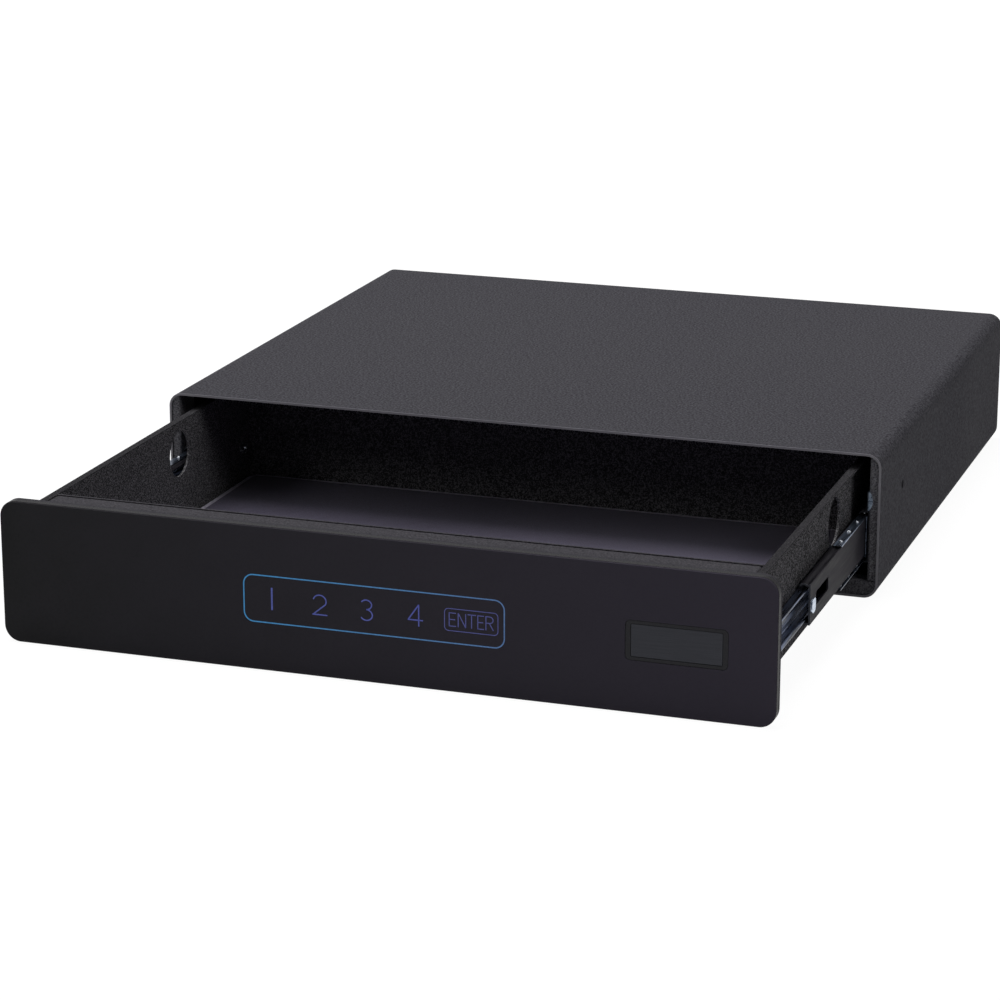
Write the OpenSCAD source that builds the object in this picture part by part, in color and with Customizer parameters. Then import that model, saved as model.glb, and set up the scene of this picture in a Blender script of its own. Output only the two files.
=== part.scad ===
// Under-bed safe: a low steel case with a drawer on ball-bearing slides.
// Millimetres. +X is the right-hand side seen from the front, the drawer opens towards -Y, +Z is up.
// The origin is the middle of the case's flat base.

/* [Case] */
// Width of the case
case_w = 500; // [460:5:620]
// Depth of the case, front rim to back panel
case_d = 418; // [400:2:520]
// Height of the case
case_h = 97; // [93:1:130]
// Outer radius of the case's long edges
case_r = 9.5; // [7:0.5:14]
// Sheet thickness of the case
case_t = 1.5; // [1:0.5:3]
// Thickness of the welded back panel
back_t = 2; // [1.5:0.5:3]
// How far the welded front frame sits behind the rim
rim_set = 1; // [0.5:0.5:3]
// Sheet thickness of the sill and the side channels
frame_t = 1.5; // [1:0.25:2]
// Height of the sill above the case floor
sill_h = 10; // [6:0.5:11]
// Depth of the sill, front to back
sill_d = 14; // [8:1:24]
// Depth of a side channel, case wall to slide
chan_d = 6; // [5:0.5:9]
// Depth of the tall part of a side channel, behind its front face
chan_tall = 24; // [23:1:60]
// Bolt holes in the case floor, left to right
bolt_pitch_x = 360; // [200:10:420]
// Bolt holes in the case floor, front to back
bolt_pitch_y = 200; // [120:10:240]
// Distance of the bolt pattern's middle behind the case's middle
bolt_back = 55; // [40:1:70]
// Diameter of a bolt hole in the case floor
bolt_hole_d = 8; // [6:0.5:12]
// Diameter of the hole in the right side wall
side_hole_d = 6; // [4:0.5:8]
// Distance of the side hole behind the front rim
side_hole_y = 69; // [50:1:120]
// Height of the side hole above the base
side_hole_z = 59; // [50:1:75]

/* [Drawer front] */
// Gap between the front panel and the edge of the case, left and right
panel_side_gap = 2; // [1:0.5:6]
// Gap between the base plane and the panel's lower edge
panel_low_gap = 0.5; // [0.5:0.5:4]
// Gap between the case top and the panel's upper edge
panel_top_gap = 5; // [1:0.5:6]
// Corner radius of the front panel
panel_r = 10.5; // [6:0.5:20]
// Thickness of the touch glass
glass_t = 5; // [4:0.5:8]
// Bevel round the front edge of the glass
glass_bevel = 0.6; // [0.3:0.1:1]
// Thickness of the steel plate behind the glass
backing_t = 3; // [2:0.5:4]
// Gap between the shut panel and the case
closed_gap = 0.5; // [0.5:0.5:3]
// Width of the touch area
touch_w = 176; // [120:2:200]
// Height of the touch area
touch_h = 38; // [30:1:46]
// Distance of the key cover's middle from the panel's right-hand edge
key_in = 60.5; // [56:0.5:78]
// Height of the key cover's middle above the panel's lower edge
key_up = 45; // [40:0.5:52]
// Width of the key cover
key_cover_w = 62; // [40:0.5:64]
// Height of the key cover
key_cover_h = 24.5; // [14:0.5:28]
// Thickness of the key cover's face
key_cover_t = 2; // [1.5:0.25:3]
// Depth of the field sunk into the key cover's face
key_field_sink = 0.5; // [0.3:0.1:0.8]

/* [Drawer tray] */
// Sheet thickness of the drawer
tray_t = 1.5; // [1:0.25:2]
// Length of the tray behind the front panel
tray_l = 340; // [320:1:370]
// Gap between the sill and the tray
tray_lift = 1; // [0.5:0.25:3]
// Distance of the tray's top edge below the case top
tray_top_gap = 11; // [8:0.5:14]
// Outer radius of the tray's folds
tray_r = 3; // [2:0.25:4]
// How far the tray's top flanges stand out
tray_flange = 3.5; // [2:0.5:5]
// Diameter of the round cut-outs in the tray's sides
cutout_d = 31.5; // [20:0.5:36]
// Distance of the left-hand cut-out behind the front panel
cutout_y = 218; // [190:0.5:240]
// How much nearer to the panel the right-hand cut-out is
cutout_shift = 11; // [0:0.5:14]
// Height of the cut-outs above the base
cutout_z = 63.5; // [60:0.5:64]
// Depth of the front compartment
comp_d = 36; // [35:1:70]
// Thickness of the foam mat
mat_t = 4; // [2:0.5:8]
// Gap between the mat and the tray's walls
mat_gap = 2; // [1:0.5:6]
// Corner radius of the mat
mat_r = 10; // [4:1:20]

/* [Slides] */
// How much longer the slide members are than the tray
slide_over = 10; // [0:1:20]
// Thickness of a slide, case side to drawer side
slide_t = 12.5; // [12.2:0.1:13]
// Height of the slides' middle above the base
slide_z = 40; // [38:0.5:41]
// Distance of the shut members' front ends behind the case front
slide_back = 5; // [3:0.5:12]
// Height of the outer member
rail_h = 35; // [34:0.5:36]
// Height of the middle member
mid_h = 27.3; // [26.8:0.1:27.6]
// Sheet thickness of the members
rail_t = 1.2; // [1:0.1:1.2]
// Diameter of a bearing ball
ball_d = 3; // [2.9:0.05:3.1]
// Gap between a ball and its race
race_gap = 0.25; // [0.2:0.05:0.3]
// Distance of the outer ball rows from the case-side face
outer_ball_t = 4.6; // [4.6:0.05:4.8]
// Sheet thickness of the ball cages
cage_t = 0.5; // [0.4:0.05:0.6]
// How much shorter a ball cage is than a member
cage_short = 150; // [120:10:180]
// Set-back of the outer cage from the members' front ends, shut
outer_cage_back = 2; // [1:1:20]
// Set-back of the inner cage from the members' front ends, shut
inner_cage_back = 55; // [40:1:80]
// Bearing balls in each row
ball_count = 9; // [5:1:10]
// Share of the drawer's travel that the middle member makes
mid_ratio = 0.6; // [0.5:0.05:0.6]
// Length of the windows in the middle member
window_l = 33; // [20:1:50]
// Height of the windows in the middle member
window_h = 9; // [6:0.5:12]

/* [Lock] */
// Gap between the top of the slide and the lock bolt
bolt_over = 0.5; // [0.5:0.5:4]
// Diameter of the lock bolt
bolt_d = 12.5; // [9:0.5:13]
// Distance of the bolt's middle behind the front panel
bolt_y = 17.5; // [16:0.5:20]
// How far the bolt stands out of the tray's wall when drawn in
bolt_show = 1; // [0.5:0.5:2]
// Running gap round the bolt
bolt_gap = 0.2; // [0.1:0.05:0.4]
// How far the strike's ear reaches over the front of the side channel
strike_ear = 2.5; // [1.5:0.5:3.5]
// Diameter of the key lock's barrel
barrel_d = 19; // [16:0.5:20]
// Diameter of the key lock's turning plug
plug_d = 12; // [10:0.5:13]

/* [Shown pose] */
// How far the drawer stands open
shown_open = 250; // [0:10:250]

/* [Hidden] */
$fn = 96;
eps = 0.5;

// Gap between welded or stacked pieces, and between a loose piece and what it lies against
frame_gap = 0.3;
rest_gap = 0.1;

front_y = -case_d / 2;
back_y = case_d / 2;
wall_x = case_w / 2 - case_t;
face_x = wall_x - chan_d;
tray_x = face_x - slide_t;
tray_in = tray_x - tray_t;
sill_top = case_t + sill_h;
tray_z = sill_top + tray_lift;
floor_z = tray_z + tray_t;
tray_top = case_h - tray_top_gap;

panel_w = case_w - 2 * panel_side_gap;
panel_z = panel_low_gap;
panel_h = case_h - panel_low_gap - panel_top_gap;
panel_y = front_y - closed_gap - shown_open;
panel_mid = panel_z + panel_h / 2;
key_x = panel_w / 2 - key_in;
key_z = panel_z + key_up;
key_cover_r = 3;
cap_gap = 0.25;

// Sections of the slides. t runs from the case-side face towards the drawer, h from the middle up.
race_r = ball_d / 2 + race_gap + rail_t / 2;
outer_ball_h = rail_h / 2 - race_r - rail_t / 2;
inner_ball_h = mid_h / 2 - race_r - rail_t / 2;
ball_drop = outer_ball_h - inner_ball_h;
inner_ball_t = outer_ball_t + sqrt(4 * race_r * race_r - ball_drop * ball_drop);
race_turn = asin(ball_drop / (2 * race_r));
mid_web_t = outer_ball_t - race_r * cos(race_turn);
inner_web_t = slide_t - rail_t / 2;
hook_turn = 30;
inner_hook_turn = 140;
inner_hook_t = inner_ball_t + race_r * cos(inner_hook_turn) - rail_t / 2;
outer_cage_web_t = (rail_t + mid_web_t - rail_t / 2) / 2;
inner_cage_web_t = (mid_web_t + rail_t / 2 + inner_hook_t) / 2;
bend_r = 1.2;

// Ball cages: how far an arm reaches past its balls, the last ball's distance from the end, the balls' pinch
slide_len = tray_l + slide_over;
cage_rim = 1.1;
cage_end = 10;
cage_len = slide_len - cage_short;
ball_pitch = (cage_len - 2 * cage_end) / (ball_count - 1);
ball_grip = 0.05;

// The cages are forked in front: their first balls are held by the two arms alone
fork_balls = 3;
fork_len = cage_end + (fork_balls - 0.25) * ball_pitch;

outer_y = front_y + slide_back;
mid_y = outer_y - mid_ratio * shown_open;
inner_y = outer_y - shown_open;
outer_cage_y = outer_y + outer_cage_back - mid_ratio / 2 * shown_open;
inner_cage_y = outer_y + inner_cage_back - (1 + mid_ratio) / 2 * shown_open;

// Windows and stop of a middle member, from its front end
window_back = 14;
window_r = 2.5;
stop_back = 5;
stop_len = 9;
stop_h = 9;
stop_low = 1.5;

// Screws: M4 and M3 shanks, their holes, countersunk and pan heads, and nuts
screw_d = 4;
screw_hole_d = 4.3;
sunk_head_d = 6.2;
pan_head_d = 7.6;
pan_head_h = 1.6;
nut_d = 8;
nut_h = 3;
small_screw_d = 3;
small_head_d = 5.4;
slide_screws = [16, 0.38 * slide_len, slide_len - 31];

// Lock bolt, its guide and its bracket
bolt_z = slide_z + rail_h / 2 + bolt_over + bolt_d / 2;
bolt_len = 32;
bolt_nose = 4;
guide_len = 20;
guide_wall = 2.5;
bracket_t = 1.5;
bracket_y = bolt_y + bolt_d / 2 + bolt_gap + guide_wall;

// Side channels, low behind their front part, and the strike on the right-hand one
chan_over = 10;
chan_len = slide_back + slide_len + chan_over;
chan_low_z = slide_z + rail_h / 2 + 12;
latch_play = 0.5;
catch_y = front_y - closed_gap + bolt_y;
strike_t = 1.2;
ear_t = 0.6;
strike_h = 13;
strike_z = bolt_z + 1.25;
strike_y0 = front_y + rim_set - ear_t;
strike_y1 = catch_y - bolt_d / 2 - latch_play;
strike_mid_y = (strike_y0 + strike_y1) / 2;
strike_screws_z = [strike_z - 3.4, strike_z + 3.4];
plunger_d = 6;
plunger_gap = 0.3;

// Key lock in front of the plunger's line, with the solenoid to its left
cam_t = 2;
cam_w = 6;
cam_reach = 19;
cam_gap = 1;
barrel_len = bolt_y - plunger_d / 2 - latch_play - cam_t - cam_gap;
coil_len = 30;
coil_h = 19;
coil_wall = 1.5;
coil_gap = 9;
coil_x = key_x - barrel_d / 2 - coil_gap - coil_len;
coil_half = bracket_y - bolt_y;

// Battery bay in the cover's rear wall, for four AA cells
bay_in = 50.5;
bay_x = bay_in - tray_in;
bay_w = 62;
bay_h = 32;
bay_z = floor_z + 35;
cell_d = 14.5;
cell_l = 50.5;
cell_gap = 0.15;
holder_wall = 1.5;
holder_l = cell_l + 2 * holder_wall;
holder_h = 2 * cell_d + 3 * holder_wall;
holder_d = 2 * cell_d + 2 * holder_wall;
cell_z = (cell_d + holder_wall) / 2;
door_lap = 4;
door_w = bay_w + 2 * door_lap;
door_h = bay_h + 2 * door_lap;
door_t = 1.5;
door_r = 3;

// Corner tabs that the panel and the compartment's cover are screwed to
tab_w = 14;
tab_top = 5;
tab_screws_x = tray_in - tab_w / 2;
tab_screws_z = [floor_z + 12, tray_top - 16];
blind_t = 0.5;

// Compartment: the rear wall's folded top edge and the lid in front of it
cover_flange = 3.5;
cover_bend = 1.5;
lid_gap = 2.2;

// Touch sensor, lamp board behind it and control board on standoffs
touch_r = 2;
sensor_t = 0.8;
sensor_gap = 0.5;
board_t = 1.6;
board_r = 2;
board_lap = 4;
lamp_count = 11;
lamp_end = 8;
lamp_row = 5;
lamp_t = 1.2;
ctrl_w = 90;
ctrl_h = 44;
ctrl_x = -20;
ctrl_y = 16;
ctrl_z = (floor_z + tray_top) / 2;
standoff_d = 5;
standoff_in = 4;
standoff_x = ctrl_w / 2 - standoff_in;
standoff_z = touch_h / 2 - standoff_in;

// A bar between two points with round ends
module stroke(from, to, t) {
    run = to - from;
    long = norm(run);
    translate(from) circle(d = t);
    translate(to) circle(d = t);
    translate(from) rotate(atan2(run[1], run[0])) translate([0, -t / 2]) square([long, t]);
}

// A curved bar of mid-line radius r round a centre, with round ends
module arc_stroke(centre, r, t, from, to) {
    step = (to - from) / 3;
    translate(centre) {
        intersection() {
            difference() {
                circle(r + t / 2);
                circle(r - t / 2);
            }
            polygon(concat([[0, 0]], [for (i = [0 : 3]) 3 * r * [cos(from + i * step), sin(from + i * step)]]));
        }
        for (a = [from, to]) translate(r * [cos(a), sin(a)]) circle(d = t);
    }
}

// A rectangle with rounded corners, centred
module rounded_rect(w, h, r) {
    square([w - 2 * r, h], center = true);
    square([w, h - 2 * r], center = true);
    for (x = [-1, 1], y = [-1, 1]) translate([x * (w / 2 - r), y * (h / 2 - r)]) circle(r);
}

// The outline of a tray: square at the top, rounded at the bottom
module trough(half, low, high, r) {
    translate([-half, low + r]) square([2 * half, high - low - r]);
    translate([-half + r, low]) square([2 * (half - r), r + eps]);
    for (x = [-1, 1]) translate([x * (half - r), low + r]) circle(r);
}

// Extrudes an outline drawn in X and Z along Y
module along_y(from, to) {
    translate([0, to, 0]) rotate([90, 0, 0]) linear_extrude(to - from) children();
}

// Extrudes an outline drawn in Y and Z along X
module along_x(from, to) {
    translate([from, 0, 0]) rotate([90, 0, 90]) linear_extrude(to - from) children();
}

// A cylinder along X or along Y from one plane to another
module rod_x(from, to, d, y, z) {
    translate([from, y, z]) rotate([0, 90, 0]) cylinder(h = to - from, d = d);
}

module rod_y(from, to, d, x, z) {
    translate([x, to, z]) rotate([90, 0, 0]) cylinder(h = to - from, d = d);
}

// A hexagon nut along the X axis, its outer face at x = 0
module nut_x() {
    rotate([0, 90, 0])
    difference() {
        cylinder(h = nut_h, d = nut_d, $fn = 6);
        translate([0, 0, -eps]) cylinder(h = nut_h + 2 * eps, d = screw_d);
    }
}

// Pieces of the right-hand side, mirrored for the left
module on_side(side) {
    if (side > 0) children();
    else mirror([1, 0, 0]) children();
}

// Pieces that travel with the drawer, measured from the back of its front panel
module in_drawer() {
    translate([0, panel_y, 0]) children();
}

module case_outline(inset) {
    translate([0, case_h / 2])
        rounded_rect(case_w - 2 * inset, case_h - 2 * inset, case_r - inset);
}

module case_shell() {
    color("#3a393d")
    difference() {
        along_y(front_y, back_y) difference() {
            case_outline(0);
            case_outline(case_t);
        }
        for (x = [-1, 1], y = [-1, 1])
            translate([x * bolt_pitch_x / 2, bolt_back + y * bolt_pitch_y / 2, -eps])
                cylinder(h = case_t + 2 * eps, d = bolt_hole_d);
        rod_x(wall_x - eps, case_w / 2 + eps, side_hole_d, front_y + side_hole_y, side_hole_z);
    }
}

module case_back() {
    color("#39383c") along_y(back_y - back_t, back_y) case_outline(case_t);
}

// The folded sill across the mouth of the case
module front_sill() {
    y0 = front_y + rim_set;
    color("#232226")
    intersection() {
        along_x(-wall_x, wall_x) {
            translate([y0, case_t]) square([frame_t, sill_h - frame_t]);
            translate([y0 + frame_t, sill_top - frame_t]) square([sill_d - 2 * frame_t, frame_t]);
            translate([y0 + sill_d - frame_t, case_t]) square([frame_t, sill_h - frame_t]);
            for (y = [frame_t, sill_d - frame_t]) translate([y0 + y, sill_top - frame_t]) circle(frame_t);
        }
        along_y(front_y, back_y) case_outline(case_t);
    }
}

// The folded channel that carries a slide and closes the gap beside it
module side_channel(side) {
    y0 = front_y + rim_set;
    y1 = y0 + chan_len;
    low = sill_top + frame_gap;
    color("#262529")
    on_side(side)
    difference() {
        intersection() {
            translate([0, 0, low]) linear_extrude(case_h - low) {
                translate([face_x, y0 + frame_t]) square([frame_t, y1 - y0 - 2 * frame_t]);
                for (y = [y0, y1 - frame_t])
                    translate([face_x + frame_t, y]) square([chan_d - frame_t, frame_t]);
                for (y = [y0 + frame_t, y1 - frame_t]) translate([face_x + frame_t, y]) circle(frame_t);
            }
            along_y(front_y, back_y) case_outline(case_t);
        }
        translate([face_x - eps, y0 + chan_tall, chan_low_z]) cube([chan_d + 2 * eps, chan_len, case_h]);
        for (s = slide_screws)
            rod_x(face_x - eps, face_x + frame_t + eps, screw_d, outer_y + s, slide_z);
        if (side > 0) {
            rod_x(face_x - eps, face_x + frame_t + eps, bolt_d + 2 * latch_play, catch_y, bolt_z);
            for (z = strike_screws_z)
                rod_x(face_x - eps, face_x + frame_t + eps, small_screw_d, strike_mid_y, z);
        }
    }
}

module side_channel_left() { side_channel(-1); }
module side_channel_right() { side_channel(1); }

// Section of the outer member
module outer_section() {
    edge = rail_h / 2 - rail_t / 2;
    for (m = [0, 1]) mirror([0, m]) {
        stroke([rail_t / 2, 0], [rail_t / 2, edge - bend_r], rail_t);
        arc_stroke([rail_t / 2 + bend_r, edge - bend_r], bend_r, rail_t, 90, 180);
        stroke([rail_t / 2 + bend_r, edge], [outer_ball_t, edge], rail_t);
        arc_stroke([outer_ball_t, outer_ball_h], race_r, rail_t, hook_turn, 90);
    }
}

// Section of the middle member: each arm is a race for both ball rows
module middle_section() {
    for (m = [0, 1]) mirror([0, m]) {
        stroke([mid_web_t, 0], [mid_web_t, outer_ball_h - race_r * sin(race_turn)], rail_t);
        arc_stroke([outer_ball_t, outer_ball_h], race_r, rail_t, race_turn - 180, -race_turn);
        arc_stroke([inner_ball_t, inner_ball_h], race_r, rail_t, hook_turn, 180 - race_turn);
    }
}

// Section of the inner member, its web flat against the drawer
module inner_section() {
    edge = inner_ball_h - race_r;
    for (m = [0, 1]) mirror([0, m]) {
        stroke([inner_web_t, 0], [inner_web_t, edge - bend_r], rail_t);
        arc_stroke([inner_web_t - bend_r, edge - bend_r], bend_r, rail_t, 0, 90);
        stroke([inner_web_t - bend_r, edge], [inner_ball_t, edge], rail_t);
        arc_stroke([inner_ball_t, inner_ball_h], race_r, rail_t, -inner_hook_turn, -90);
    }
}

// Section of a ball cage: a web between the members and an arm along each ball row
module cage_section(web_t, ball_t, ball_h) {
    for (m = [0, 1]) mirror([0, m]) {
        stroke([web_t, 0], [web_t, ball_h], cage_t);
        stroke([web_t, ball_h], [ball_t + ball_d / 2 + cage_rim, ball_h], cage_t);
    }
}

// Extrudes a slide section along Y, its case-side face on the side channel
module rail(from, to) {
    translate([face_x, 0, slide_z]) mirror([1, 0, 0]) along_y(from, to) children();
}

module slide_outer(side) {
    color("#37383c")
    on_side(side)
    difference() {
        rail(outer_y, outer_y + slide_len) outer_section();
        for (s = slide_screws)
            translate([face_x - rail_t, outer_y + s, slide_z]) rotate([0, 90, 0])
                cylinder(h = rail_t, d1 = sunk_head_d, d2 = screw_d);
    }
}

module slide_outer_left() { slide_outer(-1); }
module slide_outer_right() { slide_outer(1); }

module slide_middle(side) {
    color("#37383c")
    on_side(side)
    difference() {
        rail(mid_y, mid_y + slide_len) middle_section();
        for (y = [window_back, slide_len - window_back - window_l])
            translate([0, mid_y + y + window_l / 2, slide_z])
                along_x(face_x - mid_web_t - rail_t, face_x - mid_web_t + rail_t)
                    rounded_rect(window_l, window_h, window_r);
    }
}

module slide_middle_left() { slide_middle(-1); }
module slide_middle_right() { slide_middle(1); }

// The bright stop pressed into the front of a middle member's web
module slide_stop(side) {
    color("#d6dade")
    on_side(side)
        translate([0, mid_y + stop_back, slide_z - stop_low])
            along_x(face_x - mid_web_t + rail_t / 2, face_x - rail_t - frame_gap)
                rounded_rect(stop_len, stop_h, stop_len / 3);
}

module slide_stop_left() { slide_stop(-1); }
module slide_stop_right() { slide_stop(1); }

module slide_inner(side) {
    color("#7d8792")
    on_side(side)
    difference() {
        rail(inner_y, inner_y + slide_len) inner_section();
        for (s = slide_screws)
            rod_x(tray_x - eps, tray_x + rail_t + eps, screw_d, inner_y + s, slide_z);
    }
}

module slide_inner_left() { slide_inner(-1); }
module slide_inner_right() { slide_inner(1); }

// A ball cage with a hole for each ball, its front forked and windows in the rest of its web
module ball_cage(side, y0, web_t, ball_t, ball_h) {
    fork_h = ball_h - cage_t;
    web_x = face_x - web_t - cage_t;
    color("#c9ced4")
    on_side(side)
    difference() {
        rail(y0, y0 + cage_len) cage_section(web_t, ball_t, ball_h);
        for (i = [0 : ball_count - 1])
            translate([face_x - ball_t, y0 + cage_end + i * ball_pitch, slide_z - rail_h / 2])
                cylinder(h = rail_h, d = ball_d - 2 * ball_grip);
        for (i = [fork_balls : ball_count - 2])
            translate([web_x, y0 + cage_end + (i + 0.25) * ball_pitch, slide_z - ball_h / 2])
                cube([2 * cage_t, ball_pitch / 2, ball_h]);
        translate([web_x, y0 - eps, slide_z - fork_h]) cube([2 * cage_t, fork_len + eps, 2 * fork_h]);
    }
}

module outer_cage(side) {
    ball_cage(side, outer_cage_y, outer_cage_web_t, outer_ball_t, outer_ball_h);
}

module inner_cage(side) {
    ball_cage(side, inner_cage_y, inner_cage_web_t, inner_ball_t, inner_ball_h);
}

module balls(side, y0, ball_t, ball_h) {
    color("#e4e7ea")
    on_side(side)
        for (i = [0 : ball_count - 1], h = [-1, 1])
            translate([face_x - ball_t, y0 + cage_end + i * ball_pitch, slide_z + h * ball_h])
                sphere(d = ball_d);
}

module cage_outer_left() { outer_cage(-1); }
module cage_outer_right() { outer_cage(1); }
module cage_inner_left() { inner_cage(-1); }
module cage_inner_right() { inner_cage(1); }
module balls_outer_left() { balls(-1, outer_cage_y, outer_ball_t, outer_ball_h); }
module balls_outer_right() { balls(1, outer_cage_y, outer_ball_t, outer_ball_h); }
module balls_inner_left() { balls(-1, inner_cage_y, inner_ball_t, inner_ball_h); }
module balls_inner_right() { balls(1, inner_cage_y, inner_ball_t, inner_ball_h); }

// Countersunk screws and nuts that hold the outer members to the side channels
module case_slide_screws() {
    color("#b9bec4")
    for (side = [-1, 1], s = slide_screws)
        on_side(side) translate([face_x - rail_t, outer_y + s, slide_z]) rotate([0, 90, 0]) {
            cylinder(h = rail_t, d1 = sunk_head_d, d2 = screw_d);
            cylinder(h = rail_t + frame_t + nut_h, d = screw_d);
        }
}

module case_slide_nuts() {
    color("#b9bec4")
    for (side = [-1, 1], s = slide_screws)
        on_side(side) translate([face_x + frame_t, outer_y + s, slide_z]) nut_x();
}

// Pan-head screws and nuts that hold the inner members to the tray
module drawer_slide_screws() {
    tip = 1;
    color("#b9bec4")
    for (side = [-1, 1], s = slide_screws)
        on_side(side) {
            rod_x(tray_x + rail_t, tray_x + rail_t + pan_head_h, pan_head_d, inner_y + s, slide_z);
            rod_x(tray_in - nut_h - tip, tray_x + rail_t, screw_d, inner_y + s, slide_z);
        }
}

module drawer_slide_nuts() {
    color("#b9bec4")
    for (side = [-1, 1], s = slide_screws)
        on_side(side) translate([tray_in - nut_h, inner_y + s, slide_z]) nut_x();
}

// The strike beside the bolt's catch hole in the right-hand channel, its round ear over the channel's front
module strike_plate() {
    low = strike_z - strike_h / 2;
    ear_r = (strike_h * strike_h / 4 + strike_ear * strike_ear) / (2 * strike_ear);
    color("#cfd4d9")
    difference() {
        union() {
            translate([face_x - strike_t, strike_y0, low]) cube([strike_t, strike_y1 - strike_y0, strike_h]);
            along_y(strike_y0, strike_y0 + ear_t) intersection() {
                translate([face_x + strike_ear - ear_r, strike_z]) circle(ear_r);
                translate([face_x - strike_t, low]) square([strike_t + strike_ear, strike_h]);
            }
        }
        for (z = strike_screws_z)
            translate([face_x - strike_t, strike_mid_y, z]) rotate([0, 90, 0])
                cylinder(h = strike_t, d1 = small_head_d, d2 = small_screw_d);
    }
}

module strike_screws() {
    color("#b9bec4")
    for (z = strike_screws_z)
        translate([face_x - strike_t, strike_mid_y, z]) rotate([0, 90, 0]) {
            cylinder(h = strike_t, d1 = small_head_d, d2 = small_screw_d);
            cylinder(h = strike_t + frame_t, d = small_screw_d);
        }
}

module drawer_tray() {
    color("#1d1c1f")
    in_drawer()
    difference() {
        union() {
            along_y(0, tray_l) difference() {
                union() {
                    trough(tray_x, tray_z, tray_top, tray_r);
                    translate([-tray_x - tray_flange, tray_top - tray_t])
                        square([2 * (tray_x + tray_flange), tray_t]);
                }
                trough(tray_in, floor_z, tray_top + eps, tray_r - tray_t);
            }
            along_y(tray_l - tray_t, tray_l) trough(tray_x, tray_z, tray_top, tray_r);
            translate([-tray_x - tray_flange, tray_l - eps, tray_top - tray_t])
                cube([2 * (tray_x + tray_flange), tray_flange + eps, tray_t]);
            for (side = [-1, 1], y = [0, comp_d - 2 * tray_t])
                on_side(side) translate([tray_in - tab_w, y, floor_z - eps])
                    cube([tab_w + eps, tray_t, tray_top - tab_top - floor_z + eps]);
        }
        rod_x(-tray_x - eps, -tray_in + eps, cutout_d, cutout_y, cutout_z);
        rod_x(tray_in - eps, tray_x + eps, cutout_d, cutout_y - cutout_shift, cutout_z);
        for (side = [-1, 1], s = slide_screws)
            on_side(side) rod_x(tray_in - eps, tray_x + eps, screw_d, slide_back + closed_gap + s, slide_z);
        rod_x(tray_in - eps, tray_x + eps, bolt_d + 2 * bolt_gap, bolt_y, bolt_z);
        for (side = [-1, 1], z = tab_screws_z)
            on_side(side) {
                rod_y(-eps, tray_t + eps, screw_hole_d, tab_screws_x, z);
                rod_y(comp_d - 2 * tray_t - eps, comp_d - tray_t + eps, screw_d, tab_screws_x, z);
            }
    }
}

// The rear wall of the front compartment, its top edge folded towards the panel
module compartment_cover() {
    half = tray_in - frame_gap;
    run = cover_bend + tray_t / 2;
    color("#2b2a2e")
    in_drawer()
    difference() {
        along_x(-half, half) {
            translate([comp_d - cover_flange, tray_top - tray_t]) square([cover_flange - run, tray_t]);
            translate([comp_d - tray_t, floor_z]) square([tray_t, tray_top - floor_z - run]);
            arc_stroke([comp_d - run, tray_top - run], cover_bend, tray_t, 0, 90);
        }
        for (side = [-1, 1], z = tab_screws_z)
            on_side(side) rod_y(comp_d - tray_t - eps, comp_d + eps, screw_d, tab_screws_x, z);
        translate([bay_x - bay_w / 2, comp_d - tray_t - eps, bay_z - bay_h / 2])
            cube([bay_w, tray_t + 2 * eps, bay_h]);
    }
}

// The lid between the panel and the rear wall, its side edges folded down onto the corner tabs
module compartment_lid() {
    half = tray_in - frame_gap;
    run = cover_bend + tray_t / 2;
    lip = tab_top - frame_gap;
    color("#2b2a2e")
    in_drawer()
    along_y(frame_gap, comp_d - cover_flange - lid_gap) {
        translate([-half + run, tray_top - tray_t]) square([2 * (half - run), tray_t]);
        for (m = [0, 1]) mirror([m, 0]) {
            translate([half - tray_t, tray_top - lip]) square([tray_t, lip - run]);
            arc_stroke([half - run, tray_top - run], cover_bend, tray_t, 0, 90);
        }
    }
}

module cover_screws() {
    tip = 1.5;
    color("#b9bec4")
    in_drawer()
    for (side = [-1, 1], z = tab_screws_z)
        on_side(side) {
            rod_y(comp_d, comp_d + pan_head_h, pan_head_d, tab_screws_x, z);
            rod_y(comp_d - 2 * tray_t - tip, comp_d, screw_d, tab_screws_x, z);
        }
}

module panel_outline() {
    translate([0, panel_mid]) rounded_rect(panel_w, panel_h, panel_r);
}

// The glass: a plate with rounded corners and a bevel round its front edge
module front_glass() {
    y1 = -backing_t;
    y0 = y1 - glass_t;
    half_h = panel_h / 2;
    half_w = panel_w / 2;
    b = glass_bevel;
    color("#1b1b1e")
    in_drawer()
    difference() {
        union() {
            translate([0, 0, panel_mid]) along_x(-half_w + panel_r, half_w - panel_r)
                polygon([[y1, -half_h], [y1, half_h], [y0 + b, half_h],
                         [y0, half_h - b], [y0, -half_h + b], [y0 + b, -half_h]]);
            translate([0, 0, panel_mid - half_h + panel_r]) linear_extrude(panel_h - 2 * panel_r)
                polygon([[-half_w, y1], [half_w, y1], [half_w, y0 + b],
                         [half_w - b, y0], [-half_w + b, y0], [-half_w, y0 + b]]);
            for (x = [-1, 1], z = [-1, 1])
                translate([x * (half_w - panel_r), y1, panel_mid + z * (half_h - panel_r)])
                    rotate([90, 0, 0]) {
                        cylinder(h = glass_t - b, r = panel_r);
                        translate([0, 0, glass_t - b]) cylinder(h = b, r1 = panel_r, r2 = panel_r - b);
                    }
        }
        translate([key_x, 0, key_z]) along_y(y0 - eps, y1 + eps)
            rounded_rect(key_cover_w + 2 * cap_gap, key_cover_h + 2 * cap_gap, key_cover_r + cap_gap);
    }
}

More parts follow.
